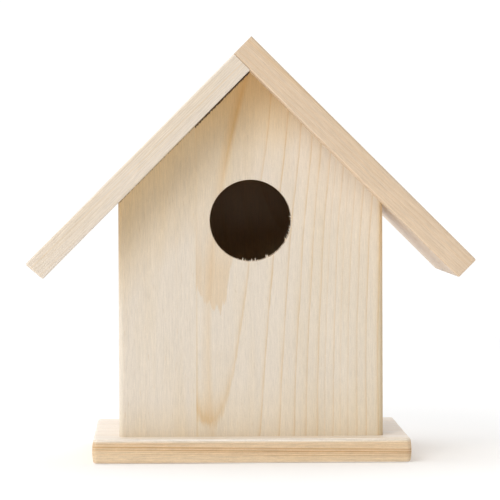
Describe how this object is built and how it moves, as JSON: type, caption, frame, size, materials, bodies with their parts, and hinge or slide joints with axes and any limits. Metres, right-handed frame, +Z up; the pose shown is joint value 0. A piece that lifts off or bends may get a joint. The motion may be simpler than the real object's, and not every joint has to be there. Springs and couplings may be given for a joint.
{
  "type": "birdhouse",
  "caption": "Free-standing wooden birdhouse with a gable roof, round entrance, eased base board and a hinged rear clean-out door.",
  "frame": {"origin": "centre of the base board's underside, where the birdhouse stands", "axes": "+Z up, -Y the way the entrance faces, +X to the right as seen from the front"},
  "size_m": [0.1912, 0.13, 0.1816],
  "materials": {
    "base_pine": "bare sanded pine, straight latewood lines along the length",
    "panel_pine": "bare sanded pine, pale, upright grain",
    "roof_pine": "bare sanded pine, slightly pinkish",
    "button_wood": "bare sanded wood",
    "hinge_brass": "plain pressed brass",
    "zinc_steel": "zinc-plated steel"
  },
  "bodies": {
    "house": {"base_board": "base_pine", "front_left_stave": "panel_pine", "front_right_stave": "panel_pine", "left_wall": "panel_pine", "right_wall": "panel_pine", "back_gable": "panel_pine", "left_roof_board": "roof_pine", "right_roof_board": "roof_pine", "upper_hinge_wall_leaf": "hinge_brass", "lower_hinge_wall_leaf": "hinge_brass", "upper_hinge_pin": "hinge_brass", "lower_hinge_pin": "hinge_brass", "hinge_wall_screws": "hinge_brass", "turn_button_screw": "hinge_brass", "base_screws": "zinc_steel", "left_roof_nails": "zinc_steel", "right_roof_nails": "zinc_steel", "ridge_nails": "zinc_steel", "back_gable_nails": "zinc_steel"},
    "door": {"clean_out_door": "panel_pine", "upper_hinge_door_leaf": "hinge_brass", "lower_hinge_door_leaf": "hinge_brass", "hinge_door_screws": "hinge_brass"},
    "button": {"turn_button": "button_wood"}
  },
  "joints": [
    {"name": "door_hinge", "type": "hinge", "parent": "house", "child": "door", "pos_m": [0.05825, 0.03315, 0.045], "axis": [0, 0, -1], "range_deg": [0, 110]},
    {"name": "button_turn", "type": "hinge", "parent": "house", "child": "button", "pos_m": [-0.032, 0.0458, 0.088], "axis": [0, 1, 0], "continuous": true}
  ]
}
